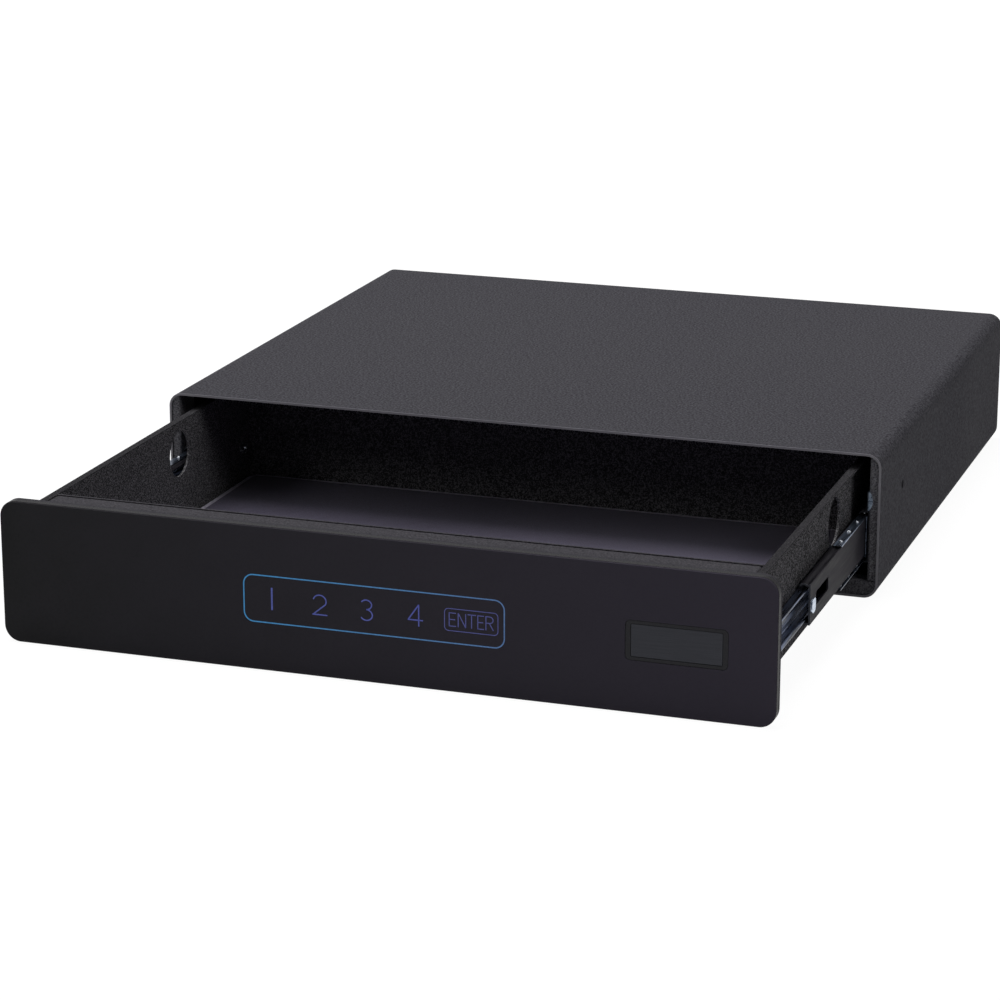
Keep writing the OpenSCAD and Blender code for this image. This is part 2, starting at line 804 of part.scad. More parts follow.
// The steel plate behind the glass, with a window for the touch sensor
module front_backing() {
    color("#2a2a2d")
    in_drawer()
    difference() {
        along_y(-backing_t, 0) panel_outline();
        translate([0, 0, panel_mid]) along_y(-backing_t - eps, eps) rounded_rect(touch_w, touch_h, touch_r);
        rod_y(-backing_t - eps, eps, barrel_d, key_x, key_z);
        for (side = [-1, 1], z = tab_screws_z)
            on_side(side) rod_y(-backing_t + blind_t, eps, screw_d, tab_screws_x, z);
    }
}

module backing_screws() {
    color("#b9bec4")
    in_drawer()
    for (side = [-1, 1], z = tab_screws_z)
        on_side(side) {
            rod_y(tray_t, tray_t + pan_head_h, pan_head_d, tab_screws_x, z);
            rod_y(-backing_t + blind_t, tray_t, screw_d, tab_screws_x, z);
        }
}

module touch_sensor() {
    color("#14351f")
    in_drawer()
    translate([0, 0, panel_mid]) along_y(-backing_t, -backing_t + sensor_t)
        rounded_rect(touch_w - 2 * sensor_gap, touch_h - 2 * sensor_gap, touch_r - sensor_gap);
}

module led_board() {
    color("#173f25")
    in_drawer()
    translate([0, 0, panel_mid]) along_y(0, board_t)
        rounded_rect(touch_w + 2 * board_lap, touch_h + 2 * board_lap, board_r);
}

// Two rows of lamps that light the touch area from its upper and lower edges
module led_lamps() {
    lamp = [3, lamp_t, 2.8];
    pitch = (touch_w - 2 * lamp_end) / (lamp_count - 1);
    color("#9fc4ff")
    in_drawer()
    for (i = [0 : lamp_count - 1], z = [-1, 1])
        translate([-touch_w / 2 + lamp_end + i * pitch, -lamp_t / 2, panel_mid + z * (touch_h / 2 - lamp_row)])
            cube(lamp, center = true);
}

module board_standoffs() {
    color("#b08d4f")
    in_drawer()
    for (x = [-1, 1], z = [-1, 1])
        rod_y(board_t, ctrl_y, standoff_d, ctrl_x + x * standoff_x, ctrl_z + z * standoff_z);
}

module control_board() {
    hole_d = 2.5;
    color("#1f5a34")
    in_drawer()
    difference() {
        translate([ctrl_x, 0, ctrl_z]) along_y(ctrl_y, ctrl_y + board_t) rounded_rect(ctrl_w, ctrl_h, board_r);
        for (x = [-1, 1], z = [-1, 1])
            rod_y(ctrl_y - eps, ctrl_y + board_t + eps, hole_d, ctrl_x + x * standoff_x, ctrl_z + z * standoff_z);
    }
}

// Processor, relay, two capacitors and two cable sockets, placed from the board's middle
module control_parts() {
    chip = [10, 2, 10];
    relay = [18, 12, 15];
    socket = [12, 7, 6];
    can_d = 7;
    can_h = 11;
    color("#202024")
    in_drawer()
    translate([ctrl_x, ctrl_y + board_t, ctrl_z]) {
        translate([-12, 0, -5]) cube(chip);
        translate([14, 0, -8]) cube(relay);
        for (x = [-34, -25]) rod_y(0, can_h, can_d, x, 8);
        for (x = [-36, 4]) translate([x, 0, -19]) cube(socket);
    }
}

// The open box that holds the four cells, its mouth at the cover's opening
module battery_holder() {
    y1 = comp_d - tray_t;
    color("#161618")
    in_drawer()
    difference() {
        translate([bay_x - holder_l / 2, y1 - holder_d, bay_z - holder_h / 2])
            cube([holder_l, holder_d, holder_h]);
        for (z = [-1, 1])
            translate([bay_x - cell_l / 2, y1 - 2 * cell_d, bay_z + z * cell_z - cell_d / 2])
                cube([cell_l, 2 * cell_d + eps, cell_d]);
    }
}

module batteries() {
    cap_d = 5.5;
    cap_l = 1.5;
    color("#c8a24a")
    in_drawer()
    for (z = [-1, 1], row = [0.5, 1.5])
        translate([bay_x, comp_d - tray_t - row * cell_d, bay_z + z * cell_z]) {
            rod_x(-cell_l / 2, cell_l / 2 - cap_l, cell_d - 2 * cell_gap, 0, 0);
            rod_x(cell_l / 2 - cap_l, cell_l / 2, cap_d, 0, 0);
        }
}

// The sliding door over the battery opening, on the tray side of the cover, with a finger grip
module battery_door() {
    grip = [1, 0.8, 18];
    grip_pitch = 2;
    grip_in = 10;
    y0 = comp_d + rest_gap;
    color("#2e2d31")
    in_drawer()
    translate([bay_x, 0, bay_z]) {
        along_y(y0, y0 + door_t) rounded_rect(door_w, door_h, door_r);
        for (i = [0 : 3])
            translate([door_w / 2 - grip_in + i * grip_pitch, y0 + door_t, -grip[2] / 2]) cube(grip);
    }
}

module foam_mat() {
    w = 2 * (tray_in - mat_gap);
    y0 = comp_d + mat_gap;
    y1 = tray_l - tray_t - mat_gap;
    color("#201f26")
    in_drawer()
    translate([0, (y0 + y1) / 2, floor_z]) linear_extrude(mat_t) rounded_rect(w, y1 - y0, mat_r);
}

// The round bolt, its nose bevelled on the side that meets the strike when the drawer shuts
module latch_bolt() {
    tip = tray_x + bolt_show;
    tail = tip - bolt_len;
    edge = bolt_d / 2 + eps;
    color("#ccd1d6")
    in_drawer()
    intersection() {
        rod_x(tail, tip, bolt_d, bolt_y, bolt_z);
        translate([0, bolt_y, bolt_z - edge]) linear_extrude(2 * edge)
            polygon([[tail - eps, -edge], [tip + eps, -edge], [tip + eps, edge - bolt_nose - 2 * eps],
                     [tip - bolt_nose - eps, edge], [tail - eps, edge]]);
    }
}

module bolt_plunger() {
    color("#9aa0a6")
    in_drawer()
    rod_x(coil_x + 2 * coil_wall, tray_x + bolt_show - bolt_len, plunger_d, bolt_y, bolt_z);
}

// The block that guides the bolt, bearing on the tray's wall and the lock bracket
module latch_guide() {
    bore = bolt_d + 2 * bolt_gap;
    outer = bore / 2 + guide_wall;
    color("#54565b")
    in_drawer()
    translate([tray_in - guide_len, bolt_y, bolt_z])
    difference() {
        translate([0, -outer, -outer]) cube([guide_len, 2 * outer, 2 * outer]);
        rod_x(-eps, guide_len + eps, bore, 0, 0);
    }
}

// The plate between the tray's wall and the solenoid, with a slot for the wires
module lock_bracket() {
    over = 3;
    low = 14;
    high = 10;
    slot = [12, 10];
    slot_in = 8;
    x0 = coil_x - over;
    color("#6a6d72")
    in_drawer()
    translate([0, bracket_y, bolt_z])
    difference() {
        translate([x0, 0, -low]) cube([tray_in - x0, bracket_t, low + high]);
        translate([coil_x + coil_len + slot_in, -eps, -slot[1] / 2])
            cube([slot[0], bracket_t + 2 * eps, slot[1]]);
    }
}

// The solenoid's steel frame, open at the top and bottom
module lock_solenoid() {
    color("#85898e")
    in_drawer()
    translate([coil_x, bolt_y, bolt_z])
    difference() {
        translate([0, -coil_half, -coil_h / 2]) cube([coil_len, 2 * coil_half, coil_h]);
        translate([coil_wall, -coil_half - eps, -coil_h / 2 - eps])
            cube([coil_len - 2 * coil_wall, 2 * coil_half - coil_wall + eps, coil_h + 2 * eps]);
        rod_x(coil_len / 2, coil_len + eps, plunger_d + 2 * plunger_gap, 0, 0);
    }
}

module solenoid_coil() {
    color("#a5562c")
    in_drawer()
    translate([coil_x, bolt_y, bolt_z])
    difference() {
        rod_x(coil_wall, coil_len - coil_wall, 2 * (coil_half - coil_wall), 0, 0);
        rod_x(0, coil_len, plunger_d + 2 * plunger_gap, 0, 0);
    }
}

// The key lock behind the cover
module lock_barrel() {
    color("#a9adb2")
    in_drawer()
    difference() {
        rod_y(-backing_t, barrel_len, barrel_d, key_x, key_z);
        rod_y(-backing_t - eps, barrel_len + eps, plug_d, key_x, key_z);
    }
}

module lock_nut() {
    lock_nut_h = 3;
    over = 3.5;
    color("#8b8f94")
    in_drawer()
    translate([key_x, lock_nut_h, key_z]) rotate([90, 0, 0])
        difference() {
            cylinder(h = lock_nut_h, d = barrel_d + 2 * over, $fn = 6);
            translate([0, 0, -eps]) cylinder(h = lock_nut_h + 2 * eps, d = barrel_d);
        }
}

// The plug turns in the barrel and carries the cam on its rear end
module key_plug() {
    turn_gap = 0.05;
    keyway_w = 1.6;
    keyway_h = 7;
    color("#c3a458")
    in_drawer()
    difference() {
        rod_y(-backing_t, barrel_len + cam_gap, plug_d - 2 * turn_gap, key_x, key_z);
        translate([key_x - keyway_w / 2, -backing_t - eps, key_z - keyway_h / 2])
            cube([keyway_w, barrel_len, keyway_h]);
    }
}

module key_cam() {
    hub_d = 11;
    y0 = barrel_len + cam_gap;
    color("#8b8f94")
    in_drawer()
    translate([key_x, 0, key_z]) along_y(y0, y0 + cam_t) {
        circle(d = hub_d);
        translate([0, -cam_w / 2]) square([cam_reach - cam_w / 2, cam_w]);
        translate([cam_reach - cam_w / 2, 0]) circle(d = cam_w);
    }
}

// The cap that fills the opening in the glass over the key lock, a bead round its sunk field
module key_cover() {
    sink = 0.2;
    wall = 1.2;
    bead = [3, 2];
    field_r = 1;
    y0 = -backing_t - glass_t + sink;
    y1 = y0 + key_field_sink;
    y2 = y0 + key_cover_t;
    color("#26262a")
    in_drawer()
    translate([key_x, 0, key_z]) {
        along_y(y0, y1) difference() {
            rounded_rect(key_cover_w, key_cover_h, key_cover_r);
            rounded_rect(key_cover_w - 2 * bead[0], key_cover_h - 2 * bead[1], field_r);
        }
        along_y(y1, y2) rounded_rect(key_cover_w, key_cover_h, key_cover_r);
        along_y(y2, -backing_t - rest_gap) difference() {
            rounded_rect(key_cover_w, key_cover_h, key_cover_r);
            rounded_rect(key_cover_w - 2 * wall, key_cover_h - 2 * wall, key_cover_r - wall);
        }
    }
}

case_shell();
case_back();
front_sill();
side_channel_left();
side_channel_right();
slide_outer_left();
slide_outer_right();
case_slide_screws();
case_slide_nuts();
strike_plate();
strike_screws();
drawer_tray();
compartment_cover();
compartment_lid();
front_glass();
front_backing();
backing_screws();
touch_sensor();
led_board();
led_lamps();
control_board();
control_parts();
board_standoffs();
battery_holder();
batteries();
battery_door();
cover_screws();
lock_bracket();
lock_solenoid();
solenoid_coil();
latch_guide();
latch_bolt();
bolt_plunger();
lock_barrel();
lock_nut();
key_plug();
key_cam();
key_cover();
foam_mat();
slide_inner_left();
slide_inner_right();
drawer_slide_screws();
drawer_slide_nuts();
slide_middle_left();
slide_middle_right();
slide_stop_left();
slide_stop_right();
cage_outer_left();
cage_outer_right();
cage_inner_left();
cage_inner_right();
balls_outer_left();
balls_outer_right();
balls_inner_left();
balls_inner_right();
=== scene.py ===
"""Under-bed safe: finishes, lit keypad marks, badge plate, foam mat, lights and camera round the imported
CAD model. Lengths are in metres, and the marks on the glass are drawn in millimetres."""
import math

import bpy
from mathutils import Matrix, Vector


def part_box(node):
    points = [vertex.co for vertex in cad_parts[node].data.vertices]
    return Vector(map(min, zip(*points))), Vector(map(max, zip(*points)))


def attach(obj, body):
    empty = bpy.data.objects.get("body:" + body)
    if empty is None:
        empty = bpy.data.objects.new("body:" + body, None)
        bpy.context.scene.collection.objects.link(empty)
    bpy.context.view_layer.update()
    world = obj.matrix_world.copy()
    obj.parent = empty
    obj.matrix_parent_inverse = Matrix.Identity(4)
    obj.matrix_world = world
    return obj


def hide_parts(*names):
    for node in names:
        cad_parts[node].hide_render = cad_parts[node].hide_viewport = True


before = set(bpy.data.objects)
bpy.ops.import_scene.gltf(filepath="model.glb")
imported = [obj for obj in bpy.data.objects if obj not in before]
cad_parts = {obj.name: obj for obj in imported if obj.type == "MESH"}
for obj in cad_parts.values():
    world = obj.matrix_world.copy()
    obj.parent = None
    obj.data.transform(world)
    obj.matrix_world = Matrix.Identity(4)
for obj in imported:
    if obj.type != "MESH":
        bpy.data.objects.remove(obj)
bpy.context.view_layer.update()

MM = 0.001
glass_low, glass_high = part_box("front_glass")
case_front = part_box("case_shell")[0].y
tray_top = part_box("drawer_tray")[1].z


# Nodes

WHITE = (1, 1, 1, 1)


def fill(tree, node, sockets):
    """Gives sockets, by name or number, a value each or a link from the output of another node."""
    for socket, value in sockets.items():
        if isinstance(value, bpy.types.NodeSocket):
            tree.links.new(value, node.inputs[socket])
        else:
            node.inputs[socket].default_value = value
    return node


def add(tree, kind, sockets=None, **settings):
    """A new shader node with its settings and sockets filled in."""
    node = tree.nodes.new("ShaderNode" + kind)
    for name, value in settings.items():
        setattr(node, name, value)
    return fill(tree, node, sockets or {})


def spread(tree, out, low, high, to_low=0.0, to_high=1.0):
    """Maps low..high of a value to to_low..to_high, clamped."""
    node = add(tree, "MapRange", {"Value": out, "From Min": low, "From Max": high,
                                  "To Min": to_low, "To Max": to_high})
    return node.outputs["Result"]


def srgb(r, g, b):
    """A colour given as 0-255 sRGB values, in linear light with alpha."""
    def linear(c):
        c /= 255
        return c / 12.92 if c <= 0.04045 else ((c + 0.055) / 1.055) ** 2.4
    return linear(r), linear(g), linear(b), 1


class Finish:
    """A material with its Principled shader, and short calls for the nodes that feed it."""

    def __init__(self, name, roughness=0.5, metallic=0.0, specular=0.5):
        self.material = bpy.data.materials.new(name)
        self.material.use_nodes = True
        self.tree = self.material.node_tree
        self.shader = self.tree.nodes["Principled BSDF"]
        self.set("Roughness", roughness)
        self.set("Metallic", metallic)
        self.set("Specular IOR Level", specular)
        self.place = add(self.tree, "TexCoord").outputs["Object"]

    def set(self, socket, value):
        """Feeds a socket of the shader with a value or the output of a node."""
        fill(self.tree, self.shader, {socket: value})

    def fed(self, socket):
        """The output that a socket of the shader is linked to."""
        return self.shader.inputs[socket].links[0].from_socket

    def noise(self, scale, detail=2.0, stretch=None, roughness=0.5):
        """Noise at the object's own coordinates, which stretch scales by axis."""
        place = self.place
        if stretch:
            place = add(self.tree, "Mapping", {"Vector": place, "Scale": stretch}).outputs["Vector"]
        node = add(self.tree, "TexNoise", {"Vector": place, "Scale": scale, "Detail": detail,
                                           "Roughness": roughness})
        return node.outputs["Fac"]

    def cells(self, scale):
        """Distance to the nearest of many scattered points."""
        return add(self.tree, "TexVoronoi", {"Vector": self.place, "Scale": scale}).outputs["Distance"]

    def spread(self, out, low, high, to_low=0.0, to_high=1.0):
        """Maps low..high of a value to to_low..to_high, clamped."""
        return spread(self.tree, out, low, high, to_low, to_high)

    def along(self, axis, low, high, to_low=0.0, to_high=1.0):
        """Maps low..high of one of the object's own coordinates in the same way."""
        place = add(self.tree, "SeparateXYZ", {"Vector": self.place}).outputs[axis]
        return self.spread(place, low, high, to_low, to_high)

    def mix(self, factor, first, second, blend="MIX"):
        """A colour between two, or their product. Each is a colour or the output of a node."""
        # The Mix node numbers its colour sockets 6 and 7, after those for numbers and vectors
        node = add(self.tree, "Mix", {"Factor": factor, 6: first, 7: second},
                   data_type="RGBA", blend_type=blend)
        return node.outputs[2]

    def mix_number(self, factor, first, second):
        """A number between two. Each is a number or the output of a node."""
        return add(self.tree, "Mix", {"Factor": factor, 2: first, 3: second}).outputs[0]

    def times(self, first, second):
        """The product of two outputs."""
        return add(self.tree, "Math", {0: first, 1: second}, operation="MULTIPLY").outputs["Value"]

    def zone(self, part, colour):
        """Turns the base colour to another where a factor is 1."""
        self.set("Base Color", self.mix(part, self.fed("Base Color"), srgb(*colour)))

    def bump(self, out, depth):
        """Relief that is as deep as said where a value is 1."""
        self.set("Normal", add(self.tree, "Bump", {"Height": out, "Distance": depth}).outputs["Normal"])


# Materials

# Ranges of a noise's values: the wide one holds most of them, and the narrow one gives more contrast
WIDE = (0.3, 0.7)
NARROW = (0.35, 0.65)
TOUCH_HALF_W = 85 * MM


def coat(name, dark, pale, grain, roughness, specular, depth, contrast=0.18, centre=0.5, edge=None):
    """Powder coat: a grain that shows as colour and relief, and a slow drift of shade. An edge is a plane in
    Y and a colour: the coat is painted that colour on faces in front of the plane, as a painted highlight."""
    f = Finish(name, roughness, specular=specular)
    fine = f.noise(grain, detail=3.0, roughness=0.6)
    slow = f.noise(7.0)
    colour = f.mix(f.spread(fine, centre - contrast, centre + contrast), srgb(*dark), srgb(*pale))
    # Painted highlight: the edge colour on faces in front of the plane
    if edge:
        plane, highlight_colour = edge
        front = f.along("Y", plane, plane + 0.2 * MM, 1.0, 0.0)
        colour = f.mix(front, colour, srgb(*highlight_colour))
    drift = f.mix(f.spread(slow, *WIDE), (0.9, 0.9, 0.9, 1), WHITE)
    f.set("Base Color", f.mix(1.0, colour, drift, "MULTIPLY"))
    f.set("Roughness", f.spread(slow, *WIDE, roughness - 0.04, roughness + 0.04))
    f.bump(fine, depth)
    return f


def plated(name, dark, pale, roughness, stretch=(60, 3, 60), metallic=1.0, specular=0.5, depth=0.02 * MM):
    """Plated or bare metal with a faint grain drawn out along its length."""
    f = Finish(name, roughness, metallic, specular)
    grain = f.noise(12.0, detail=3.0, stretch=stretch)
    cloud = f.noise(45.0)
    tone = f.times(f.spread(grain, *NARROW), f.spread(cloud, *WIDE, 0.6, 1.0))
    f.set("Base Color", f.mix(tone, srgb(*dark), srgb(*pale)))
    f.set("Roughness", f.spread(grain, *WIDE, roughness * 0.8, roughness * 1.25))
    f.bump(grain, depth)
    return f


def moulded(name, dark, pale, roughness=0.45, specular=0.4):
    """Moulded plastic with a spark-eroded grain."""
    f = Finish(name, roughness, specular=specular)
    fine = f.noise(900.0)
    f.set("Base Color", f.mix(f.spread(fine, *NARROW), srgb(*dark), srgb(*pale)))
    f.set("Roughness", f.spread(fine, *WIDE, roughness - 0.05, roughness + 0.05))
    f.bump(fine, 0.04 * MM)
    return f


def cut_edge(f, node, band, colour, roughness):
    """Another metal tone on the front cut of a rolled member: its front face, and a band of its length."""
    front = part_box(node)[0].y
    raw = f.along("Y", front + band, front + 1.5 * band, 1.0, 0.0)
    f.zone(raw, colour)
    f.set("Roughness", f.mix_number(raw, f.fed("Roughness"), roughness))
    return f


def board(name, mask, track, pad):
    """Circuit board: solder mask over tracks, with small tinned pads."""
    f = Finish(name, 0.35)
    black = (0, 0, 0, 1)
    # The brick pattern lies in X and Y, and is turned up to the boards' faces
    turned = add(f.tree, "Mapping", {"Vector": f.place, "Rotation": (math.pi / 2, 0, 0)}).outputs["Vector"]
    brick = add(f.tree, "TexBrick", {"Vector": turned, "Scale": 160, "Mortar Size": 0.06,
                                     "Color1": black, "Color2": black, "Mortar": WHITE})
    tracks = f.mix(brick.outputs["Fac"], srgb(*mask), srgb(*track))
    pads = f.spread(f.cells(210.0), 0.10, 0.14, 1.0, 0.0)
    f.set("Base Color", f.mix(pads, tracks, srgb(*pad)))
    f.set("Roughness", f.spread(pads, 0.0, 1.0, 0.4, 0.22))
    f.bump(brick.outputs["Fac"], 0.03 * MM)
    return f


def battery_jacket():
    """Cells in a printed jacket: a dark band and a copper one between their bare ends, a little worn."""
    f = Finish("cell_jacket", 0.3, metallic=0.6)
    low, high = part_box("batteries")
    bands = ((0.0, (190, 192, 196)), (0.02, (30, 31, 34)), (0.66, (176, 122, 52)), (0.965, (200, 202, 206)))
    ramp = add(f.tree, "ValToRGB", {"Fac": f.along("X", low.x, high.x)})
    ramp.color_ramp.interpolation = "CONSTANT"
    while len(ramp.color_ramp.elements) < len(bands):
        ramp.color_ramp.elements.new(0.5)
    for element, (start, colour) in zip(ramp.color_ramp.elements, bands):
        element.position = start
        element.color = srgb(*colour)
    wear = f.spread(f.noise(400.0, detail=3.0), 0.62, 0.7)
    f.set("Base Color", f.mix(wear, ramp.outputs["Color"], srgb(120, 118, 114)))
    f.set("Roughness", f.spread(f.noise(90.0), *WIDE, 0.25, 0.4))
    return f


def copper_winding():
    """Enamelled wire wound in close turns along X."""
    f = Finish("copper_winding", 0.3, metallic=1.0)
    wave = add(f.tree, "TexWave", {"Vector": f.place, "Scale": 640, "Distortion": 0.4}, bands_direction="X")
    turns = wave.outputs["Fac"]
    f.set("Base Color", f.mix(turns, srgb(92, 40, 20), srgb(196, 106, 58)))
    f.set("Roughness", f.spread(turns, 0.0, 1.0, 0.45, 0.28))
    f.bump(turns, 0.2 * MM)
    return f


def touch_glass():
    """Dark glass with a satin haze, painted lighter and bluer towards its right-hand end as painted light,
    and painted darker on its edges behind the front face as painted shade."""
    f = Finish("touch_glass", 0.28, specular=0.02)
    haze = f.spread(f.noise(30.0), *WIDE, 0.0, 0.1)
    # Painted light: the glass is painted lighter and bluer towards its right-hand end
    painted_light_tint = f.mix(f.along("X", glass_low.x, glass_high.x), srgb(50, 50, 51), srgb(72, 68, 79))
    f.set("Base Color", f.mix(haze, painted_light_tint, srgb(74, 71, 81)))
    # Painted shade: the glass's edges behind the front face are painted darker
    f.zone(f.along("Y", glass_low.y + 0.3 * MM, glass_low.y + 0.6 * MM), (30, 29, 32))
    f.set("Roughness", f.spread(f.noise(500.0), *WIDE, 0.24, 0.34))
    return f


def foam(name, dark, pale):
    """Closed-cell foam: tiny pores and a soft sheen."""
    f = Finish(name, 0.75, specular=0.05)
    pores = f.cells(1400.0)
    slow = f.noise(9.0, detail=3.0)
    tone = f.times(f.spread(pores, 0.1, 0.7), f.spread(slow, *WIDE, 0.7, 1.0))
    f.set("Base Color", f.mix(tone, srgb(*dark), srgb(*pale)))
    f.set("Roughness", f.spread(slow, *WIDE, 0.7, 0.82))
    f.set("Sheen Weight", 0.12)
    f.set("Sheen Roughness", 0.5)
    f.bump(pores, 0.08 * MM)
    return f


def lit(name, left, right, strength):
    """Printed marks lit from behind, shading from one colour to another across the touch area."""
    f = Finish(name, 0.4, specular=0.2)
    shade = f.mix(f.along("X", -TOUCH_HALF_W, TOUCH_HALF_W), srgb(*left), srgb(*right))
    grain = f.spread(f.noise(700.0), *WIDE, 0.0, 0.25)
    colour = f.mix(grain, shade, srgb(18, 20, 34))
    f.set("Base Color", colour)
    f.set("Emission Color", colour)
    f.set("Emission Strength", strength)
    return f


def pair(*stems):
    """The names of left-hand and right-hand nodes."""
    return [f"{stem}_{side}" for stem in stems for side in ("left", "right")]


def paint(finish, *nodes):
    """Gives CAD nodes a material in place of their imported one."""
    for name in nodes:
        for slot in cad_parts[name].material_slots:
            slot.material = finish.material


# The case's coat is painted paler on its front edge: a painted highlight along the rim
case_coat = coat("case_coat", (26, 25, 30), (81, 80, 85), grain=690.0, roughness=0.75, specular=0.04,
                 depth=0.1 * MM, edge=(case_front + 0.2 * MM, (150, 148, 154)))
frame_coat = coat("frame_coat", (49, 48, 52), (114, 113, 118), grain=900.0, roughness=0.6, specular=0.08,
                  depth=0.2 * MM, contrast=0.15)
channel_coat = coat("channel_coat", (63, 62, 66), (134, 133, 138), grain=900.0, roughness=0.6, specular=0.05,
                    depth=0.2 * MM, contrast=0.15)
cover_coat = coat("cover_coat", (31, 30, 34), (71, 69, 74), grain=800.0, roughness=0.66, specular=0.04,
                  depth=0.2 * MM, contrast=0.15)
backing_coat = coat("backing_coat", (40, 39, 43), (60, 59, 64), grain=700.0, roughness=0.6, specular=0.02,
                    depth=0.08 * MM)
tray_coat = coat("tray_coat", (50, 50, 51), (146, 144, 148), grain=1080.0, roughness=0.6, specular=0.0,
                 depth=0.2 * MM, contrast=0.11, centre=0.555)
# The tray's coat is darker on the top of its flanges
tray_coat.zone(tray_coat.along("Z", tray_top - 0.6 * MM, tray_top - 0.2 * MM, 0.0, 0.75), (34, 33, 36))
paint(case_coat, "case_shell", "case_back")
paint(frame_coat, "front_sill")
paint(channel_coat, *pair("side_channel"))
paint(cover_coat, "compartment_cover", "compartment_lid")
paint(backing_coat, "front_backing")
paint(tray_coat, "drawer_tray")
paint(touch_glass(), "front_glass")

for stem, cut_colour in (("slide_outer", (62, 64, 68)), ("slide_middle", (98, 100, 106))):
    for node in pair(stem):
        zinc = plated(f"black_zinc_{node}", (24, 23, 27), (53, 51, 56), 0.5, metallic=0.0, specular=0.03)
        paint(cut_edge(zinc, node, 0.3 * MM, cut_colour, 0.4), node)
for node in pair("cage_outer", "cage_inner"):
    zinc = plated(f"cage_zinc_{node}", (64, 72, 88), (136, 148, 168), 0.3)
    paint(cut_edge(zinc, node, 0.6 * MM, (26, 27, 30), 0.5), node)
paint(plated("blue_zinc", (20, 25, 38), (112, 124, 152), 0.28), *pair("slide_inner"))
paint(plated("bright_zinc", (156, 170, 190), (206, 216, 230), 0.24), *pair("slide_stop"))
ball_steel = plated("ball_steel", (120, 123, 128), (150, 153, 158), 0.12, (8, 8, 8), depth=0.002 * MM)
paint(ball_steel, *pair("balls_outer", "balls_inner"))
screw_steel = plated("screw_steel", (150, 154, 160), (196, 200, 206), 0.28, (20, 20, 20))
paint(screw_steel, "case_slide_screws", "case_slide_nuts", "drawer_slide_screws", "drawer_slide_nuts",
      "strike_screws", "backing_screws", "cover_screws")

# The strike plate is bright on its outer side, and painted dark on the side towards the drawer: painted shade
# from the channel
strike_zinc = plated("strike_zinc", (134, 148, 162), (186, 200, 214), 0.3)
strike_zinc.zone(strike_zinc.along("X", 241.8 * MM, 242.6 * MM, 1.0, 0.0), (46, 49, 54))
paint(strike_zinc, "strike_plate")
paint(plated("bolt_steel", (176, 180, 186), (222, 225, 230), 0.16, (3, 60, 60)), "latch_bolt", "bolt_plunger")
paint(plated("die_cast", (70, 72, 77), (104, 107, 113), 0.45, (16, 16, 16), depth=0.06 * MM), "latch_guide")
paint(plated("lock_chrome", (160, 164, 170), (208, 212, 218), 0.14, (30, 3, 30)),
      "lock_barrel", "lock_nut", "key_cam")
paint(plated("brass", (150, 116, 54), (206, 172, 96), 0.24, (30, 3, 30)), "board_standoffs", "key_plug")
paint(plated("coil_steel", (104, 108, 114), (150, 154, 160), 0.4, (40, 40, 40)),
      "lock_bracket", "lock_solenoid")
paint(copper_winding(), "solenoid_coil")

paint(moulded("black_plastic", (14, 14, 16), (30, 30, 33)), "battery_holder", "battery_door")
paint(moulded("cover_plastic", (23, 23, 26), (33, 33, 37), 0.5, specular=0.2), "key_cover")
paint(moulded("lamp_plastic", (150, 190, 235), (210, 228, 250), 0.3, specular=0.5), "led_lamps")
paint(moulded("parts_mould", (18, 18, 20), (40, 40, 43), 0.4), "control_parts")
paint(board("green_board", (14, 58, 32), (30, 92, 52), (196, 198, 200)),
      "touch_sensor", "led_board", "control_board")
paint(battery_jacket(), "batteries")

frame_light = lit("lit_frame", (50, 109, 152), (66, 91, 128), 0.9)
digit_light = lit("lit_digits", (62, 70, 124), (63, 68, 128), 0.9)
enter_light = lit("lit_enter", (66, 70, 118), (66, 69, 116), 0.8)
badge_metal = plated("badge_metal", (57, 58, 63), (65, 66, 72), 0.42, (4, 40, 220), metallic=0.3,
                     specular=0.1, depth=0.01 * MM)


# Pieces

def add_mesh(name, verts, faces, finish, body, slot):
    """A new piece that rides on a body, with the given finish. The slot is not used."""
    mesh = bpy.data.meshes.new(name)
    mesh.from_pydata(verts, [], faces)
    mesh.materials.append(finish.material)
    mesh.update()
    obj = bpy.data.objects.new(name, mesh)
    bpy.context.collection.objects.link(obj)
    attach(obj, body)
    return obj


def arc_points(cx, cy, rx, ry, start, end, steps):
    """Points on an arc of an ellipse, between two angles in degrees."""
    angles = [math.radians(start + (end - start) * i / steps) for i in range(steps + 1)]
    return [(cx + rx * math.cos(a), cy + ry * math.sin(a)) for a in angles]


def rounded_loop(x0, x1, y0, y1, r, steps=8):
    """A rectangle with round corners, as a closed anticlockwise list of points."""
    centres = ((x1 - r, y1 - r), (x0 + r, y1 - r), (x0 + r, y0 + r), (x1 - r, y0 + r))
    points = []
    for quarter, (cx, cy) in enumerate(centres):
        points.extend(arc_points(cx, cy, r, r, 90 * quarter, 90 * quarter + 90, steps))
    return points


def faces_between(a, b, count):
    """Faces between two closed loops of as many points, which start at points a and b."""
    return [(a + i, a + (i + 1) % count, b + (i + 1) % count, b + i) for i in range(count)]


def lofted(loops):
    """Points and faces of a closed skin through loops of as many points, in order of height."""
    count = len(loops[0])
    starts = [level * count for level in range(len(loops))]
    faces = [face for a, b in zip(starts, starts[1:]) for face in faces_between(a, b, count)]
    faces.append(tuple(range(count))[::-1])
    faces.append(tuple(range(starts[-1], starts[-1] + count)))
    return [point for loop in loops for point in loop], faces


def printed(name, finish, points, faces):
    """Turns flat marks on the glass into a thin printed layer that rides on the drawer."""
    proud, depth = 0.08, 0.06
    y = glass_low.y - proud * MM
    obj = add_mesh(name, [(x * MM, y, z * MM) for x, z in points], faces, finish, "drawer", "lamp_plastic")
    skin = obj.modifiers.new("depth", "SOLIDIFY")
    skin.thickness = depth * MM
    skin.offset = 0


